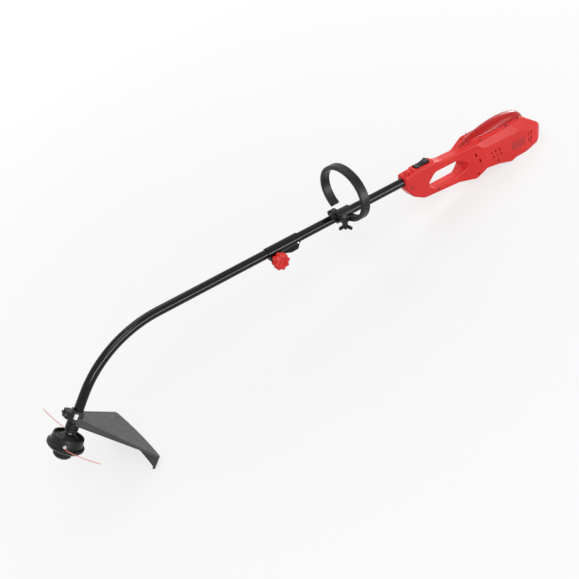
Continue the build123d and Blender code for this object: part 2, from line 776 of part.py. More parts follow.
# The left half carries the eye for a shoulder strap.
with BuildPart() as housing_left:
    add(shell.part)
    split(bisect_by=side(), keep=Keep.TOP)
    with BuildSketch(side(-eye_side)):
        with Locations((eye_at, eye_lift)):
            Circle(eye_d / 2 + eye_wall)
        with Locations((eye_at, eye_lift - 11)):
            Rectangle(eye_d + 2 * eye_wall, 22)
    extrude(amount=eye_thick)
    with BuildSketch(side(-eye_side)):
        with Locations((eye_at, eye_lift)):
            Circle(eye_d / 2)
    extrude(amount=eye_thick, mode=Mode.SUBTRACT)
    add(shaft_ring(f - 1, tube_depth, tube_r + seat_gap), mode=Mode.SUBTRACT)
pieces["housing_left"] = housing_left

with BuildPart() as housing_right:
    add(shell.part)
    split(bisect_by=side(), keep=Keep.BOTTOM)
pieces["housing_right"] = housing_right

with BuildPart() as housing_screws:
    for x, z, depth in screw_places:
        with BuildSketch(side(-depth)):
            with Locations((x, z)):
                Circle(screw_head)
        extrude(amount=3)
        with BuildSketch(side(-depth)):
            with Locations((x, z)):
                Circle(2)
        extrude(amount=-(depth + 8))
pieces["housing_screws"] = housing_screws

hood_top = hood_plane.offset(hood_boss)
with BuildPart() as motor_hood:
    add(hood_dome(0))
    with BuildSketch(hood_plane):
        Rectangle(800, 300)
    extrude(amount=-100, mode=Mode.SUBTRACT)
    extrude(hood_outline(), amount=hood_flange, taper=45)
    extrude(hood_outline(), amount=-hood_sink)
    with BuildSketch(hood_plane):
        with Locations(hood_screw_places):
            Circle(3.2)
    extrude(amount=hood_boss)
    with BuildSketch(hood_top):
        with Locations(hood_screw_places):
            Circle(3.2)
    extrude(amount=10, mode=Mode.SUBTRACT)
    add(hood_dome(hood_skin), mode=Mode.SUBTRACT)
    add(shaft_ring(stator_start - 1, stator_length + 16, stator_d / 2 + free_gap), mode=Mode.SUBTRACT)
    add(shaft_ring(fan_start - 2, stator_start - fan_start + 2, fan_d / 2 + 1.6), mode=Mode.SUBTRACT)
    with BuildSketch(hood_plane):
        with Locations(hood_screw_places):
            Circle(1.5 + seat_gap)
    extrude(amount=20, both=True, mode=Mode.SUBTRACT)
pieces["motor_hood"] = motor_hood

with BuildPart() as hood_screws:
    with BuildSketch(hood_top):
        with Locations(hood_screw_places):
            Circle(2.8)
    extrude(amount=2, taper=12)
    with BuildSketch(hood_top):
        with Locations(hood_screw_places):
            Circle(1.5)
    extrude(amount=-10)
pieces["hood_screws"] = hood_screws

with BuildPart() as label_panel:
    add(label_sheet(0))
pieces["label_panel"] = label_panel

# Rocker switch on the neck, its rear end up.
rocker_half = 23.0
rocker_tilt = 8.0
rocker_dir = shaft_dir * cos(radians(rocker_tilt)) + shaft_up * sin(radians(rocker_tilt))
rocker_plane = Plane(origin=at(bezel_at, 0, pivot_z), x_dir=rocker_dir, z_dir=(0, -1, 0))
with BuildPart() as rocker_switch:
    with BuildSketch(rocker_plane):
        with BuildLine():
            ThreePointArc((-rocker_half, 11), (0, 6), (rocker_half, 11))
            Polyline((rocker_half, 11), (rocker_half, -0.5), (0, -3.8), (-rocker_half, -0.5),
                     (-rocker_half, 11))
        make_face()
    extrude(amount=switch_width / 2, both=True)
    fillet(rocker_switch.edges().sort_by(Axis.Z)[-4:], radius=1.2)
    with BuildSketch(side()):
        with Locations((bezel_at, pivot_z)):
            Circle(pivot_r)
    extrude(amount=switch_width / 2 + 2, both=True)
pieces["rocker_switch"] = rocker_switch

with BuildPart() as switch_body:
    add(switch_block(0))
    add(shaft_ring(f, bezel_at + switch_body_length - f, tube_r + seat_gap), mode=Mode.SUBTRACT)
pieces["switch_body"] = switch_body

# Mains inlet at the rear: a socket with two pins. The cord is not part of the trimmer.
inlet_pin = 2.4
inlet_front = rear - 31
with BuildPart() as mains_inlet:
    with BuildSketch(cross(inlet_front)):
        with Locations((0, inlet_z)):
            Rectangle(inlet_size[0] - 2 * seat_gap, inlet_size[1] - 2 * seat_gap)
    extrude(amount=28)
    with BuildSketch(cross(inlet_front + 28)):
        with Locations((0, inlet_z)):
            RectangleRounded(inlet_size[0] - 5, inlet_size[1] - 5, 4)
    extrude(amount=-17, mode=Mode.SUBTRACT)
    with BuildSketch(cross(inlet_front + 10)):
        with Locations((-6, inlet_z), (6, inlet_z)):
            Circle(inlet_pin)
    extrude(amount=15)
pieces["mains_inlet"] = mains_inlet

# Motor
with BuildPart() as stator:
    add(shaft_ring(stator_start, stator_length, stator_d / 2, stator_bore / 2))
pieces["stator"] = stator

coil_start = stator_start + stator_length
with BuildPart() as field_coils:
    add(shaft_ring(coil_start, 12, stator_d / 2 - 3, stator_bore / 2 + 2))
    with BuildSketch(cross(coil_start)):
        Rectangle(stator_d, 10)
    extrude(amount=12, mode=Mode.SUBTRACT)
pieces["field_coils"] = field_coils

armature_start = motor_coupling_start + motor_coupling_length / 2 + 0.5
rotor_r = stator_bore / 2 - rotor_gap
with BuildPart() as armature:
    add(shaft_ring(armature_start, rear_bearing_at + bearing_width + 2 - armature_start, motor_shaft_d / 2))
    add(shaft_ring(stator_start + 2, stator_length - 4, rotor_r))
    add(shaft_ring(stator_start + stator_length - 3, 16, rotor_r - 5))
pieces["armature"] = armature

with BuildPart() as commutator:
    add(shaft_ring(commutator_start, commutator_length, commutator_d / 2, motor_shaft_d / 2 + seat_gap))
pieces["commutator"] = commutator

fan_blades = 9
with BuildPart() as cooling_fan:
    add(shaft_ring(fan_start, 9, 9))
    add(shaft_ring(fan_start, 2, fan_d / 2))
    with BuildSketch(cross(fan_start)):
        with PolarLocations(fan_d / 2 - 14, fan_blades):
            Rectangle(27, 2)
    extrude(amount=9)
    add(shaft_ring(fan_start - 1, 12, motor_shaft_d / 2 + seat_gap), mode=Mode.SUBTRACT)
pieces["cooling_fan"] = cooling_fan

with BuildPart() as motor_bearings:
    for place in (front_bearing_at, rear_bearing_at):
        add(shaft_ring(place, bearing_width, bearing_od / 2, motor_shaft_d / 2 + seat_gap))
pieces["motor_bearings"] = motor_bearings

with BuildPart() as brush_holders:
    add(brush_holes(holder_inner, holder_outer, holder_size, 0))
    add(brush_holes(holder_inner - 1, holder_outer - 2, brush_size, 0), mode=Mode.SUBTRACT)
pieces["brush_holders"] = brush_holders

with BuildPart() as carbon_brushes:
    add(brush_holes(commutator_d / 2 + 0.1, holder_outer - 8, brush_size, -seat_gap))
pieces["carbon_brushes"] = carbon_brushes

# Suppressor in the belly of the housing, on its floor.
with BuildPart() as suppressor:
    with BuildSketch(deck(-64, f + 398)):
        RectangleRounded(22, 30, 3)
    extrude(amount=-40)
    add(housing_block(wall + seat_gap), mode=Mode.INTERSECT)
pieces["suppressor"] = suppressor

# Lower end: a bearing holder plugged into the tube, with the head's spindle in two bearings.
holder_top = 44.0
holder_bottom = 104.0
shoulder = tube_tail + 0.2
plug_r = tube_bore - seat_gap
bearing_r = head_bearing_od / 2
bearing_top = 66.0
low_bearing = holder_bottom - 1 - head_bearing_width
with BuildPart() as bearing_holder:
    add(head_turned([(5, holder_top), (plug_r, holder_top), (plug_r, shoulder), (neck_d / 2, shoulder),
                     (neck_d / 2, holder_bottom), (bearing_r + seat_gap, holder_bottom),
                     (bearing_r + seat_gap, bearing_top), (5, bearing_top)]))
    for place in (80, 87, 94):
        with BuildSketch(head_disc(place)):
            Circle(neck_d / 2 + 2)
            Circle(neck_d / 2 - 1, mode=Mode.SUBTRACT)
        extrude(amount=-3)
pieces["bearing_holder"] = bearing_holder

with BuildPart() as head_bearings:
    for place in (bearing_top, low_bearing):
        with BuildSketch(head_disc(place)):
            Circle(bearing_r)
            Circle(spindle_d / 2 + seat_gap, mode=Mode.SUBTRACT)
        extrude(amount=-head_bearing_width)
pieces["head_bearings"] = head_bearings

with BuildPart() as bearing_spacer:
    with BuildSketch(head_disc(bearing_top + head_bearing_width)):
        Circle(bearing_r)
        Circle(bearing_r - 2, mode=Mode.SUBTRACT)
    extrude(amount=-(low_bearing - bearing_top - head_bearing_width))
pieces["bearing_spacer"] = bearing_spacer

spindle_top = cable_tail + 2
spindle_flange = holder_bottom
seat_depth = spindle_flange + 5
spindle_end = 128.0
with BuildPart() as head_spindle:
    with BuildSketch(head_disc(spindle_top)):
        Circle(spindle_d / 2)
    extrude(amount=spindle_top - spindle_end)
    with BuildSketch(head_disc(spindle_flange)):
        Circle(9)
    extrude(amount=-5)
    with BuildSketch(head_disc(spindle_top)):
        Circle(cable_pin_d / 2 + slide_fit)
    extrude(amount=-socket_depth, mode=Mode.SUBTRACT)
pieces["head_spindle"] = head_spindle

# Cutting head: a cup with two eyelets, its cover, the spool on its spring and the bump knob.
cup_r = flange_d / 2 - 5
eyelet_r = 3.0


def eyelet_plane(way, radius):
    """A plane at an eyelet, facing out from the head's axis."""
    turn = radians(eyelet_angle)
    out = head_out * (way * cos(turn)) + Vector(0, 1, 0) * (way * sin(turn))
    return Plane(origin=head_at(0, 0, line_depth) + out * radius, x_dir=head_up, z_dir=out)


cup_floor = 126.0        # depth of the floor above the spool
with BuildPart() as head_body:
    add(head_turned([(spindle_d / 2 + seat_gap, seat_depth), (10, seat_depth), (14, seat_depth + 2),
                     (27, 120), (36, 121), (36.5, rim_depth), (rim_d / 2, rim_depth),
                     (rim_d / 2 + 2.5, 135.5), (flange_d / 2, flange_depth), (flange_d / 2, 142),
                     (cup_r, 142), (cup_r - 3.5, cup_floor), (12, cup_floor),
                     (12, spindle_end), (spindle_d / 2 + seat_gap, spindle_end)]))
    for way in (-1, 1):
        with BuildSketch(eyelet_plane(way, rim_d / 2 - 5)):
            Circle(eyelet_r + seat_gap)
        extrude(amount=16, mode=Mode.SUBTRACT)
pieces["head_body"] = head_body

cover_hole = bump_d / 2 + 3
with BuildPart() as head_cover:
    add(head_turned([(cup_r + 0.2, 142), (flange_d / 2, 142), (flange_d / 2, 144.5), (cup_r - 1, 151),
                     (cover_hole, 153), (cover_hole, 149.3), (cup_r - 4, 149.3), (cup_r + 0.2, 146)]))
pieces["head_cover"] = head_cover

with BuildPart() as line_eyelets:
    for way in (-1, 1):
        with BuildSketch(eyelet_plane(way, 39)):
            Circle(eyelet_r)
        extrude(amount=5.5)
        with BuildSketch(eyelet_plane(way, 42.6)):
            Circle(eyelet_r + 1.3)
        extrude(amount=1.2)
        with BuildSketch(eyelet_plane(way, 38)):
            Circle(line_d / 2 + 0.3)
        extrude(amount=8, mode=Mode.SUBTRACT)
pieces["line_eyelets"] = line_eyelets

core_r = 16.0
spool_r = 36.0
spool_top = cup_floor + bump_travel + 1
spool_flange = 2.0
wound_top = spool_top + spool_flange
with BuildPart() as spool:
    add(head_turned([(0, 141), (14, 141), (14, spool_top), (spool_r, spool_top), (spool_r, wound_top),
                     (core_r, wound_top), (core_r, 147), (spool_r, 147), (spool_r, 149), (0, 149)]))
pieces["spool"] = spool

with BuildPart() as line_winding:
    add(head_turned([(core_r + seat_gap, wound_top + seat_gap), (33, wound_top + seat_gap),
                     (33, 147 - seat_gap), (core_r + seat_gap, 147 - seat_gap)]))
pieces["line_winding"] = line_winding

with BuildPart() as return_spring:
    add(head_turned([(12.5, cup_floor), (13.5, cup_floor), (13.5, 141), (12.5, 141)]))
pieces["return_spring"] = return_spring

bump_flutes = 12
with BuildPart() as bump_knob:
    add(head_turned([(0, 149), (cover_hole - 1.5, 149), (cover_hole - 1.5, 154), (bump_d / 2, 158),
                     (bump_d / 2, bump_depth - 6), (bump_d / 2 - 6, bump_depth), (0, bump_depth)]))
    with BuildSketch(head_disc(160)):
        with PolarLocations(bump_d / 2 + 1.2, bump_flutes):
            Circle(2.4)
    extrude(amount=-20, mode=Mode.SUBTRACT)
pieces["bump_knob"] = bump_knob


def line_tube(points):
    """A free end of cutting line, through points across the head's axis."""
    runs = [hypot(b[0] - a[0], b[1] - a[1]) for a, b in zip(points, points[1:])]
    radii = []
    for before, here, after, one, two in zip(points, points[1:], points[2:], runs, runs[1:]):
        turn = atan2(after[1] - here[1], after[0] - here[0]) - atan2(here[1] - before[1], here[0] - before[0])
        turn = abs(atan2(sin(turn), cos(turn)))
        radii.append(0.45 * min(one, two) / tan(turn / 2))
    with BuildPart() as tube:
        with BuildLine(head_disc(line_depth)) as path:
            FilletPolyline(points, radius=radii)
        wire = path.wires()[0]
        with BuildSketch(Plane(origin=wire @ 0, z_dir=wire % 0)):
            Circle(line_d / 2)
        sweep(path=wire)
    print("line runs", [round(run, 1) for run in runs], "radii", [round(r, 1) for r in radii],
          "length", round(wire.length, 1))
    return tube.part


near_points = [(-22, -33.4), (-29.5, -44.7), (-24, -60), (-8, -78), (15, -96), (39, -110.5)]
far_points = [(22, 33.4), (29.5, 44.7), (29, 62), (22, 90), (15, 130), (12.6, 168)]
with BuildPart() as line_near:
    add(line_tube(near_points))
pieces["line_near"] = line_near
with BuildPart() as line_far:
    add(line_tube(far_points))
pieces["line_far"] = line_far

# Guard: a fan-shaped tray on the end of the lower tube, with a skirt on its outer edge.
slope = tan(radians(guard_slope))
guard_front = -6.0
strap_top = 50.0
strap_width = 14.0
strap_r = tube_r + collar_wall + seat_gap
strap_thick = 1.6
clamp_reach = 34.0
clamp_half = 13.0
clamp_screw_r = 2.0
clamp_screw_length = 22.0
clamp_screw_places = [(-9, 0), (9, 0)]
clamp_front = Plane(origin=head_at(-clamp_reach, 0, strap_top + strap_width / 2), x_dir=(0, 1, 0),
                    z_dir=head_out * -1)
blade_out = 160.0
blade_right = 74.0
blade_width = 18.0
blade_thick = 2.0
blade_screw_r = 1.8
blade_screw_places = [(176, 79), (185, 87)]


def plate_top(out, right):
    """A plane on the guard's plate, facing away from it."""
    normal = head_up * cos(radians(guard_slope)) + head_out * sin(radians(guard_slope))
    return Plane(origin=head_at(out, right, guard_top + slope * out), x_dir=(0, 1, 0), z_dir=normal)


def guard_plan(inset):
    """The guard seen along the head's axis, right through its depth."""
    with BuildPart() as plan_prism:
        with BuildSketch(head_disc(guard_top - 20)) as fan_sketch:
            with BuildLine():
                Polyline((guard_reach, guard_half), (guard_front, guard_root_half),
                         (guard_front, -guard_root_half), (guard_reach, -guard_half))
                ThreePointArc((guard_reach, -guard_half), (guard_reach + guard_bulge, 0),
                              (guard_reach, guard_half))
            make_face()
            fillet(fan_sketch.vertices().sort_by(head_disc(0).location.x_axis)[-2:], radius=7)
            if inset:
                offset(amount=-inset, mode=Mode.REPLACE)
        extrude(amount=-160)
    return plan_prism.part


wall_low = [(guard_front - 2, -80), (150, -95.5), (guard_reach - 8, -104), (guard_reach - 8, -skirt_depth),
            (skirt_reach + 4, -skirt_depth)]
# The hollow under the plate
with BuildPart() as tray:
    with BuildSketch(head_side()):
        with BuildLine():
            Polyline((guard_front - 9, -guard_top - guard_skin - slope * (guard_front - 9)),
                     (skirt_reach + 9, -guard_top - guard_skin - slope * (skirt_reach + 9)),
                     (skirt_reach + 9, -skirt_depth - 9), (guard_front - 9, -skirt_depth - 9), close=True)
        make_face()
    extrude(amount=guard_half + 20, both=True)
    add(guard_plan(guard_skin), mode=Mode.INTERSECT)

with BuildPart() as guard:
    with BuildSketch(head_side()):
        with BuildLine():
            Polyline(wall_low + [(skirt_reach + 4, -guard_top - slope * (skirt_reach + 4)),
                                 (guard_front - 2, -guard_top - slope * (guard_front - 2))], close=True)
        make_face()
    extrude(amount=guard_half + 20, both=True)
    add(guard_plan(0), mode=Mode.INTERSECT)
    add(tray.part, mode=Mode.SUBTRACT)
    with BuildSketch(head_disc(collar_top)):
        Circle(tube_r + collar_wall)
    extrude(amount=collar_top - collar_bottom)
    with BuildSketch(head_disc(collar_top - 1)):
        Circle(tube_r + seat_gap)
    extrude(amount=-80, mode=Mode.SUBTRACT)
    with BuildSketch(head_disc(tube_tail - 0.1)):
        Circle(neck_d / 2 + 0.1)
    extrude(amount=-80, mode=Mode.SUBTRACT)
    with BuildSketch(head_disc(collar_bottom + 5)):
        Circle(neck_d / 2 + 2.5)
    extrude(amount=-80, mode=Mode.SUBTRACT)
    with BuildSketch(clamp_front):
        with Locations(clamp_screw_places):
            Circle(clamp_screw_r + seat_gap)
    extrude(amount=-clamp_screw_length - 0.5, mode=Mode.SUBTRACT)
    for place in blade_screw_places:
        with BuildSketch(plate_top(*place)):
            Circle(blade_screw_r + seat_gap)
        extrude(amount=10, both=True, mode=Mode.SUBTRACT)
pieces["guard"] = guard

# A steel strap and a clamp block hold the guard's collar on the tube.
with BuildPart() as guard_strap:
    with BuildSketch(head_disc(strap_top)):
        Circle(strap_r + strap_thick)
        Circle(strap_r, mode=Mode.SUBTRACT)
        with Locations((guard_front + 50 - free_gap, 0)):
            Rectangle(100, 100, mode=Mode.SUBTRACT)
    extrude(amount=-strap_width)
    with BuildSketch(clamp_front):
        with Locations(clamp_screw_places):
            Circle(clamp_screw_r + seat_gap)
    extrude(amount=-clamp_screw_length, mode=Mode.SUBTRACT)
pieces["guard_strap"] = guard_strap

with BuildPart() as guard_clamp_block:
    with BuildSketch(head_disc(strap_top - 3)):
        with Locations((-(clamp_reach + 10) / 2, 0)):
            Rectangle(clamp_reach - 10, 2 * clamp_half)
        Circle(strap_r + strap_thick + seat_gap, mode=Mode.SUBTRACT)
    extrude(amount=-strap_width - 6)
    fillet(guard_clamp_block.edges().filter_by(Axis(head_at(0, 0, 0), head_up)).sort_by(Axis.X)[:2], radius=4)
    with BuildSketch(clamp_front):
        with Locations(clamp_screw_places):
            Circle(clamp_screw_r + seat_gap)
    extrude(amount=-clamp_screw_length, mode=Mode.SUBTRACT)
pieces["guard_clamp_block"] = guard_clamp_block

with BuildPart() as guard_screws:
    with BuildSketch(clamp_front):
        with Locations(clamp_screw_places):
            Circle(clamp_screw_r + 1.8)
    extrude(amount=2.5)
    with BuildSketch(clamp_front):
        with Locations(clamp_screw_places):
            Circle(clamp_screw_r)
    extrude(amount=-clamp_screw_length)
pieces["guard_screws"] = guard_screws

# The blade under the plate cuts the line to length.
with BuildPart() as cutter_blade:
    under = [(v, -guard_top - guard_skin - slope * v) for v in (blade_out, blade_out + 32)]
    with BuildSketch(head_side(blade_right + blade_width)):
        with BuildLine():
            Polyline(under[0], under[1], (under[1][0], under[1][1] - blade_thick),
                     (under[0][0] + blade_thick, under[0][1] - blade_thick * (1 + slope)),
                     (under[0][0] + blade_thick, -line_depth - 5), (under[0][0], -line_depth - 5), close=True)
        make_face()
    extrude(amount=blade_width)
    for place in blade_screw_places:
        with BuildSketch(plate_top(*place)):
            Circle(blade_screw_r + seat_gap)
        extrude(amount=12, both=True, mode=Mode.SUBTRACT)
pieces["cutter_blade"] = cutter_blade

with BuildPart() as blade_screws:
    for place in blade_screw_places:
        with BuildSketch(plate_top(*place)):
            Circle(blade_screw_r + 1.8)
        extrude(amount=2, taper=15)
        with BuildSketch(plate_top(*place)):
            Circle(blade_screw_r)
        extrude(amount=-8)
pieces["blade_screws"] = blade_screws

for name, piece in pieces.items():
    piece.part.label = name
    export_step(piece.part, f"parts/{name}.step")
    print(name, len(piece.part.solids()), round(piece.part.volume), piece.part.is_valid)
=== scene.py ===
# %% [markdown]
# # A string trimmer on a pale floor
# The solids of the trimmer come in as a fixed frame: every tube, shell and screw is already in its
# place, in metres, lying on the guard and the motor end. This lesson gives each of them a finish,
# fits a cover over the motor, lays the two ends of cutting line, and sets the light and the camera.

# %% Load the frame
import json
import bpy
import numpy as np
from mathutils import Matrix, Vector


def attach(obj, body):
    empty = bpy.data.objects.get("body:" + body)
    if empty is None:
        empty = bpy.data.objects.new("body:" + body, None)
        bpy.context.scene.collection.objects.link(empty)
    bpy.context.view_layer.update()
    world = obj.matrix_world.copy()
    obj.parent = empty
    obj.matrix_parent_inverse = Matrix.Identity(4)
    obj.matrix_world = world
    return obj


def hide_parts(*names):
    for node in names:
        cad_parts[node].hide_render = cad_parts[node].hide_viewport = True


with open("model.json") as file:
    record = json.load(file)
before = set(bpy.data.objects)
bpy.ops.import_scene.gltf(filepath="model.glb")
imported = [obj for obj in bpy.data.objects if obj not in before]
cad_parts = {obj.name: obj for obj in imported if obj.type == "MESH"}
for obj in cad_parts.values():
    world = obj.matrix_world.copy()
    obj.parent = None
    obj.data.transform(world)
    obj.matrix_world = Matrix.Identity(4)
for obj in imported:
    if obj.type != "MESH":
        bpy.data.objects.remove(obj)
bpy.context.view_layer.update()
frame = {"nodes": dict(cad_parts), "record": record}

nodes = frame["nodes"]

# %% [markdown]
# ## One way to make a finish
# Moulded plastic is never one flat colour. The mould leaves a fine grain, which bends the light a
# little, and handling polishes some places more than others. So each finish here is one shader
# with two noises on the piece's own coordinates: a fine one for the grain and a broad one
# that moves the roughness up and down. Object coordinates stay with the piece when it moves.

# %% Helpers for the nodes of a finish
NOISE_BAND = (0.3, 0.7)       # nearly all of a noise texture lies in this band
BROAD_SCALE = 9.0             # slow drift of colour, features per metre
PATCH_SCALE = 60.0            # patches of more or less polish
MARK_SCALE = 420.0            # drawn marks on metal
MARK_DEPTH = 0.00002
COAT_ROUGHNESS = 0.08
MIX_FIRST, MIX_SECOND, MIX_RESULT = 6, 7, 2   # the colour sockets of a mix node


def new_finish(name):
    """An empty material with its shader, and the object coordinates of the piece."""
    finish = bpy.data.materials.new(name)
    finish.use_nodes = True
    tree = finish.node_tree
    shader = tree.nodes["Principled BSDF"]
    place = tree.nodes.new("ShaderNodeTexCoord").outputs["Object"]
    return finish, tree, shader, place


def noise(tree, place, scale, detail=3.0, stretch=None):
    """Noise of that many features per metre; stretch squeezes the pattern along an axis."""
    texture = tree.nodes.new("ShaderNodeTexNoise")
    texture.inputs["Scale"].default_value = scale
    texture.inputs["Detail"].default_value = detail
    if stretch:
        mapping = tree.nodes.new("ShaderNodeMapping")
        mapping.inputs["Scale"].default_value = stretch
        tree.links.new(place, mapping.inputs["Vector"])
        place = mapping.outputs["Vector"]
    tree.links.new(place, texture.inputs["Vector"])
    return texture.outputs["Fac"]


def spread(tree, value, low, high):
    """Maps a noise from its usual band onto low to high."""
    ramp = tree.nodes.new("ShaderNodeMapRange")
    ramp.inputs["From Min"].default_value, ramp.inputs["From Max"].default_value = NOISE_BAND
    ramp.inputs["To Min"].default_value = low
    ramp.inputs["To Max"].default_value = high
    tree.links.new(value, ramp.inputs["Value"])
    return ramp.outputs["Result"]


def tint(tree, value, dark, light):
    """Mixes two nearby colours by a noise."""
    mix = tree.nodes.new("ShaderNodeMix")
    mix.data_type = "RGBA"
    mix.inputs[MIX_FIRST].default_value = (*dark, 1)
    mix.inputs[MIX_SECOND].default_value = (*light, 1)
    tree.links.new(value, mix.inputs["Factor"])
    return mix.outputs[MIX_RESULT]


def bump(tree, shader, height, depth):
    """A relief of that depth in metres."""
    relief = tree.nodes.new("ShaderNodeBump")
    relief.inputs["Distance"].default_value = depth
    relief.inputs["Strength"].default_value = 1.0
    tree.links.new(height, relief.inputs["Height"])
    tree.links.new(relief.outputs["Normal"], shader.inputs["Normal"])


def moulded(name, dark, light, rough, grain, depth, coat=0.0, shine=0.4):
    """Moulded plastic: two nearby colours, a band of roughness and a grain of that scale and depth."""
    finish, tree, shader, place = new_finish(name)
    broad = noise(tree, place, BROAD_SCALE)
    tree.links.new(tint(tree, spread(tree, broad, 0, 1), dark, light), shader.inputs["Base Color"])
    tree.links.new(spread(tree, noise(tree, place, PATCH_SCALE), *rough), shader.inputs["Roughness"])
    shader.inputs["Specular IOR Level"].default_value = shine
    shader.inputs["Coat Weight"].default_value = coat
    shader.inputs["Coat Roughness"].default_value = COAT_ROUGHNESS
    bump(tree, shader, noise(tree, place, grain, 2.0), depth)
    return finish


def metal(name, dark, light, rough, stretch=None):
    """Bare metal with faint drawn marks along one axis."""
    finish, tree, shader, place = new_finish(name)
    marks = noise(tree, place, MARK_SCALE, 4.0, stretch)
    tree.links.new(tint(tree, spread(tree, marks, 0, 1), dark, light), shader.inputs["Base Color"])
    tree.links.new(spread(tree, marks, *rough), shader.inputs["Roughness"])
    shader.inputs["Metallic"].default_value = 1.0
    bump(tree, shader, marks, MARK_DEPTH)
    return finish


# %% [markdown]
# ## The finishes of this trimmer
# The housing is a warm red with a low sheen. Its motor hood is polished and gets a darker copy of that red,
# which is painted shade on the hood's dome; the hood's plastic is the housing's red. Tubes and coupler carry
# gloss black paint, which shows as one thin bright line along each tube. Handle and head are black plastic
# with a fine grain, and the guard is a flatter dark grey. Most screws are blackened.

# %% Make the finishes
PLASTICS = {   # darker and lighter colour, band of roughness, grain per metre, its depth, coat, shine
    "housing_red": ((0.76, 0.022, 0.018), (0.84, 0.03, 0.025), (0.3, 0.42), 1500.0, 0.00003, 0.0, 0.25),
    # hood_red: a darker copy of the housing red, painted shade on the hood's dome
    "hood_red": ((0.5, 0.006, 0.006), (0.56, 0.009, 0.008), (0.16, 0.24), 600.0, 0.000006, 0.04, 0.2),
    "knob_red": ((0.76, 0.022, 0.018), (0.84, 0.03, 0.025), (0.2, 0.32), 1500.0, 0.00002, 0.0, 0.3),
    "label": ((0.54, 0.008, 0.008), (0.58, 0.01, 0.009), (0.3, 0.4), 1800.0, 0.00001),
    "tube_black": ((0.004, 0.004, 0.005), (0.006, 0.006, 0.007), (0.05, 0.08), 900.0, 0.000001, 0.0, 0.22),
    "gloss_black": ((0.004, 0.004, 0.004), (0.006, 0.006, 0.006), (0.06, 0.1), 700.0, 0.000001, 0.0, 0.22),
    "black_plastic": ((0.006, 0.006, 0.007), (0.01, 0.01, 0.011), (0.3, 0.45), 1400.0, 0.00005, 0.0, 0.25),
    "guard_grey": ((0.022, 0.022, 0.024), (0.034, 0.034, 0.036), (0.45, 0.6), 1200.0, 0.00004),
    "liner": ((0.62, 0.6, 0.55), (0.7, 0.68, 0.63), (0.35, 0.5), 900.0, 0.00001),
    "carbon": ((0.02, 0.02, 0.02), (0.035, 0.035, 0.035), (0.6, 0.8), 2500.0, 0.00003),
    "line": ((0.78, 0.22, 0.15), (0.86, 0.3, 0.22), (0.28, 0.4), 800.0, 0.00001),
}
METALS = {     # darker and lighter colour, band of roughness, stretch of the marks
    "black_screw": ((0.05, 0.05, 0.055), (0.09, 0.09, 0.095), (0.35, 0.5)),
    "steel": ((0.5, 0.5, 0.51), (0.68, 0.68, 0.69), (0.22, 0.38), (1.0, 1.0, 0.15)),
    "iron": ((0.16, 0.16, 0.17), (0.24, 0.24, 0.25), (0.45, 0.6), (8.0, 1.0, 1.0)),
    "copper": ((0.72, 0.36, 0.2), (0.85, 0.48, 0.3), (0.28, 0.42), (1.0, 6.0, 1.0)),
}
finishes = {name: moulded(name, *values) for name, values in PLASTICS.items()}
finishes |= {name: metal(name, *values) for name, values in METALS.items()}
slot_of = {s["node"]: s["material_slot"] for s in frame["record"]["subparts"]}
blackened = ("housing_screws", "hood_screws", "blade_screws", "guard_screws", "handle_bolt", "handle_screw")
finish_of = slot_of | dict.fromkeys(blackened, "black_screw")
finish_of |= {"coupler_body": "gloss_black", "motor_hood": "housing_red"}
for name, node in nodes.items():
    node.data.materials.clear()
    node.data.materials.append(finishes[finish_of[name]])
print("finishes:", len(finishes), "for", len(nodes), "solids")

# %% [markdown]
# ## The motor hood
# The solid hood is a dome on a sloped flange, and both keep the colour of the housing. The moulded cover over
# them is a teardrop that starts low on the grip, is widest over the motor and dips at the rear. It is
# polished, and its darker red is painted shade on the dome. It is open below, and its rim is sunk under the
# surface of the housing.

# %% Shape the hood
HOOD = Vector((-0.19276, 0.0, 0.13586))       # front of the flange, on the plane where it meets the housing
HOOD_DIR = Vector((0.98566, 0.0, -0.16876))   # along the hood to the rear
HOOD_UP = Vector((0.16876, 0.0, 0.98566))
HOOD_START, HOOD_END = -0.046, 0.215          # along that line, from the front of the flange
HOOD_RADIUS = 0.0256
HOOD_SKEW = 1.435                             # moves the widest place to the rear
HOOD_LIFT, NOSE_DIP, TAIL_DIP = 0.004, 0.012, 0.02
RIM_ANGLE, RIM_MORE = 4, 35                   # degrees below the middle line, and more of it at both ends
INNER_SHARE = 0.94


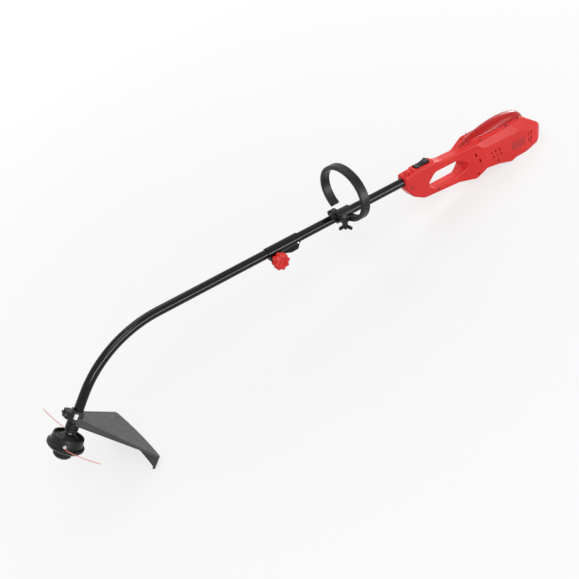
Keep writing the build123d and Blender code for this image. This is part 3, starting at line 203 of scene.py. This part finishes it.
def hood_shell(name, rings=70, steps=40):
    """A teardrop cover, open below: radius R sqrt(sin(pi s^1.435)) about a line 4 - 12 (1 - s)^8 - 20 s^14 mm
    over the flange, s from 0 to 1. Each ring is an arc that ends 4 + 35 (2 s - 1)^4 degrees below that line,
    and the same arc back inside at 0.94 of its radius."""
    s = (1 - np.cos(np.linspace(0, np.pi, rings + 2)[1:-1]))[:, None] / 2
    below = np.radians(RIM_ANGLE + RIM_MORE * (2 * s - 1) ** 4)
    arc = -below + (np.pi + 2 * below) * np.linspace(0, 1, steps)
    turn = np.hstack([arc, arc[:, ::-1]])
    around = 2 * steps
    radius = HOOD_RADIUS * np.sqrt(np.sin(np.pi * s ** HOOD_SKEW)) * np.repeat([1, INNER_SHARE], steps)
    along = HOOD_START + (HOOD_END - HOOD_START) * s + 0 * turn
    rise = HOOD_LIFT - NOSE_DIP * (1 - s) ** 8 - TAIL_DIP * s ** 14 + radius * np.sin(turn)
    grid = np.stack([along, radius * np.cos(turn), rise], axis=-1).reshape(-1, 3)
    poles = np.array([[HOOD_START, 0, HOOD_LIFT - NOSE_DIP], [HOOD_END, 0, HOOD_LIFT - TAIL_DIP]])
    points = np.array(HOOD) + np.vstack([grid, poles]) @ np.array([HOOD_DIR, (0, 1, 0), HOOD_UP])
    ring, step = np.meshgrid(np.arange(rings - 1), np.arange(around), indexing="ij")
    near, after = ring * around + step, ring * around + (step + 1) % around
    quads = np.stack([near, after, after + around, near + around], axis=-1).reshape(-1, 4)
    first, second = np.arange(around), (np.arange(around) + 1) % around
    front = np.stack([second, first, np.full(around, len(grid))], axis=-1)
    last = (rings - 1) * around
    back = np.stack([last + first, last + second, np.full(around, len(grid) + 1)], axis=-1)
    mesh = bpy.data.meshes.new(name)
    mesh.from_pydata(points.tolist(), [], quads.tolist() + front.tolist() + back.tolist())
    mesh.polygons.foreach_set("use_smooth", np.ones(len(mesh.polygons), dtype=bool))
    # the darker red is painted shade on the dome; the hood's plastic is the housing's red
    mesh.materials.append(finishes["hood_red"])
    shell = bpy.data.objects.new(name, mesh)
    bpy.context.scene.collection.objects.link(shell)
    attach(shell, "motor_unit")
    return shell


hood = hood_shell("hood_shell")
print("hood:", len(hood.data.polygons), "faces")

# %% [markdown]
# ## The cutting line
# Two ends of nylon line come out of the eyelets of the head. Nylon off a spool keeps a curve, so each end
# is one smooth spline through a handful of points in the plane of the eyelets. The spline starts straight,
# inside the eyelet.

# %% Lay the two ends of line
HEAD = Vector((-1.49481, 0.0, 0.2471))        # end of the shaft's bend
HEAD_UP = Vector((0.75375, 0.0, 0.65717))     # up the head's axis
HEAD_OUT = Vector((0.65717, 0.0, -0.75375))   # from that axis towards the operator
LINE_DEPTH = 0.131                            # plane of the eyelets, down the axis from there
LINE_WIDTH = 0.002
NEAR_POINTS = [   # millimetres, out along HEAD_OUT and to the right
    (-22, -33.4), (-29.5, -44.7), (-24, -60), (-8, -78), (15, -96), (39, -110.5),
]
FAR_POINTS = [
    (22, 33.4), (29.5, 44.7), (29, 62), (22, 90), (15, 130), (12.6, 168),
]


def line_point(out, right):
    """A point across the head's axis, given in millimetres."""
    return HEAD - HEAD_UP * LINE_DEPTH + HEAD_OUT * (out / 1000) + Vector((0, right / 1000, 0))


def lay_line(end, points):
    """A round line along one smooth spline that starts at its eyelet."""
    curve = bpy.data.curves.new(f"cutting_line_{end}", "CURVE")
    curve.dimensions = "3D"
    curve.bevel_depth = LINE_WIDTH / 2
    curve.bevel_resolution = 4
    curve.resolution_u = 24
    curve.use_fill_caps = True
    spline = curve.splines.new("NURBS")
    spline.points.add(len(points) - 1)
    places = np.array([[*line_point(*p), 1.0] for p in points])
    spline.points.foreach_set("co", places.ravel())
    spline.order_u = 3
    spline.use_endpoint_u = True
    line = bpy.data.objects.new(f"cutting_line_{end}", curve)
    bpy.context.scene.collection.objects.link(line)
    curve.materials.append(finishes["line"])
    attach(line, "cutting_head")
    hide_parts(f"line_{end}")
    return line


line_near = lay_line("near", NEAR_POINTS)
line_far = lay_line("far", FAR_POINTS)
print("lines:", line_near.name, line_far.name)

# %% [markdown]
# ## Floor and light
# The trimmer lies on a plain pale floor that runs out of the picture. Rays from the camera and from
# polished surfaces see a part of its white as its own light, more of it further away, so the floor ends in
# plain white and keeps a soft shadow near the trimmer. Large soft lamps, together with the sky, light a level
# white surface to about white. Two lamps are seen only in reflections: a small one behind, as the bright spot
# on the hood, and a long one beside the shaft, as the bright line on the tubes.

# %% Floor and world
FLOOR_HALF = 9.0
FLOOR_MIDDLE = (-0.75, 0.0, 0.0)     # under the trimmer
FADE_FROM, FADE_TO = 0.4, 2.0        # distances from there over which the floor fades to white
NEAR_SHARE, FAR_SHARE = 0.7, 1.0     # share of its own light
SKY_LEVEL = 0.35                     # for light that is scattered
WHITE = (1, 1, 1, 1)


def seen_directly(tree):
    """1 for rays from the camera, a polished surface or glass, and 0 for light that is scattered."""
    rays = tree.nodes.new("ShaderNodeLightPath").outputs
    value = rays["Is Camera Ray"]
    for other in ("Is Glossy Ray", "Is Transmission Ray"):
        larger = tree.nodes.new("ShaderNodeMath")
        larger.operation = "MAXIMUM"
        tree.links.new(value, larger.inputs[0])
        tree.links.new(rays[other], larger.inputs[1])
        value = larger.outputs["Value"]
    return value


scene = bpy.context.scene
scene.view_settings.view_transform = "Standard"
floor_mesh = bpy.data.meshes.new("floor")
corners = [(x * FLOOR_HALF, y * FLOOR_HALF, 0) for x, y in ((-1, -1), (1, -1), (1, 1), (-1, 1))]
floor_mesh.from_pydata(corners, [], [(0, 1, 2, 3)])
floor = bpy.data.objects.new("floor", floor_mesh)
scene.collection.objects.link(floor)
floor_finish, tree, shader, place = new_finish("floor")
shader.inputs["Base Color"].default_value = (0.92, 0.92, 0.92, 1)
shader.inputs["Roughness"].default_value = 0.9
shader.inputs["Specular IOR Level"].default_value = 0.0
away = tree.nodes.new("ShaderNodeVectorMath")
away.operation = "DISTANCE"
away.inputs[1].default_value = FLOOR_MIDDLE
tree.links.new(place, away.inputs[0])
fade = tree.nodes.new("ShaderNodeMapRange")
fade.inputs["From Min"].default_value = FADE_FROM
fade.inputs["From Max"].default_value = FADE_TO
fade.inputs["To Min"].default_value = NEAR_SHARE
fade.inputs["To Max"].default_value = FAR_SHARE
tree.links.new(away.outputs["Value"], fade.inputs["Value"])
share = tree.nodes.new("ShaderNodeMath")
share.operation = "MULTIPLY"
tree.links.new(seen_directly(tree), share.inputs[0])
tree.links.new(fade.outputs["Result"], share.inputs[1])
white = tree.nodes.new("ShaderNodeEmission")
white.inputs["Color"].default_value = WHITE
blend = tree.nodes.new("ShaderNodeMixShader")
tree.links.new(share.outputs["Value"], blend.inputs["Fac"])
tree.links.new(shader.outputs["BSDF"], blend.inputs[1])
tree.links.new(white.outputs["Emission"], blend.inputs[2])
tree.links.new(blend.outputs["Shader"], tree.nodes["Material Output"].inputs["Surface"])
floor_mesh.materials.append(floor_finish)

world = bpy.data.worlds.new("studio")
world.use_nodes = True
tree = world.node_tree
sky = tree.nodes["Background"]
sky.inputs["Color"].default_value = WHITE
level = tree.nodes.new("ShaderNodeMapRange")
level.inputs["To Min"].default_value = SKY_LEVEL
level.inputs["To Max"].default_value = 1.0
tree.links.new(seen_directly(tree), level.inputs["Value"])
tree.links.new(level.outputs["Result"], sky.inputs["Strength"])
scene.world = world
print("floor:", 2 * FLOOR_HALF, "m wide")

# %% Lamps
TARGET = Vector((-0.7, 0.0, 0.12))               # middle of the trimmer
SHAFT_DIR = Vector((0.98191, 0.0, -0.18937))     # along the straight tubes to the rear


def soft_lamp(name, place, size, power, scatters=True):
    """A square lamp that faces the trimmer; one that doesn't scatter is seen only in reflections."""
    lamp = bpy.data.lights.new(name, "AREA")
    lamp.size = size
    lamp.energy = power
    lamp_object = bpy.data.objects.new(name, lamp)
    lamp_object.location = place
    lamp_object.rotation_mode = "QUATERNION"
    lamp_object.rotation_quaternion = (TARGET - Vector(place)).to_track_quat("-Z", "Y")
    lamp_object.visible_diffuse = scatters
    scene.collection.objects.link(lamp_object)


def strip_lamp(name, place, length, width, power):
    """A long lamp beside the shaft and along it, seen only in reflections."""
    lamp = bpy.data.lights.new(name, "AREA")
    lamp.shape = "RECTANGLE"
    lamp.size = length
    lamp.size_y = width
    lamp.energy = power
    lamp_object = bpy.data.objects.new(name, lamp)
    away = (Vector(place) - TARGET).normalized()
    along = (SHAFT_DIR - away * SHAFT_DIR.dot(away)).normalized()
    turn = Matrix((along, away.cross(along), away)).transposed()
    lamp_object.matrix_world = Matrix.Translation(place) @ turn.to_4x4()
    lamp_object.visible_camera = False
    lamp_object.visible_diffuse = False
    scene.collection.objects.link(lamp_object)


soft_lamp("key", (-1.6, -1.6, 3.0), 1.6, 36)
soft_lamp("fill", (2.0, -2.2, 0.9), 1.6, 26)
soft_lamp("top", (-0.4, 1.6, 3.0), 2.0, 26)
soft_lamp("rim", (2.2, 1.3, 0.8), 1.2, 20)
soft_lamp("glint", (2.25, 1.1, 0.5), 0.5, 25, scatters=False)
strip_lamp("strip", (-0.7, -1.5, 0.4), 3.2, 0.3, 50)
print("lamps:", len(bpy.data.lights))

# %% [markdown]
# ## Camera
# The photograph looks down along the trimmer from the operator's left, with the picture turned so
# that the motor end rises to the upper right. Place and turn of the camera come from fitting the shaft and
# the guard to the photograph.

# %% Camera at the photograph's angle
CAMERA = Vector((-1.725, -2.024, 1.9127))
RIGHT = Vector((0.7556, -0.582, -0.3015)).normalized()
BACK = Vector((-0.2948, -0.713, 0.6363)).normalized()
BACK = (BACK - RIGHT * BACK.dot(RIGHT)).normalized()
UP = BACK.cross(RIGHT)
SENSOR = 36.0
FOCAL_PIXELS, PHOTO_PIXELS = 1050, 579     # focal length and side of the photograph
lens = bpy.data.cameras.new("camera")
lens.sensor_width = SENSOR
lens.lens = SENSOR * FOCAL_PIXELS / PHOTO_PIXELS
lens.clip_end = 100.0
camera = bpy.data.objects.new("camera", lens)
camera.matrix_world = Matrix((
    (RIGHT.x, UP.x, BACK.x, CAMERA.x),
    (RIGHT.y, UP.y, BACK.y, CAMERA.y),
    (RIGHT.z, UP.z, BACK.z, CAMERA.z),
    (0, 0, 0, 1),
))
scene.collection.objects.link(camera)
scene.camera = camera
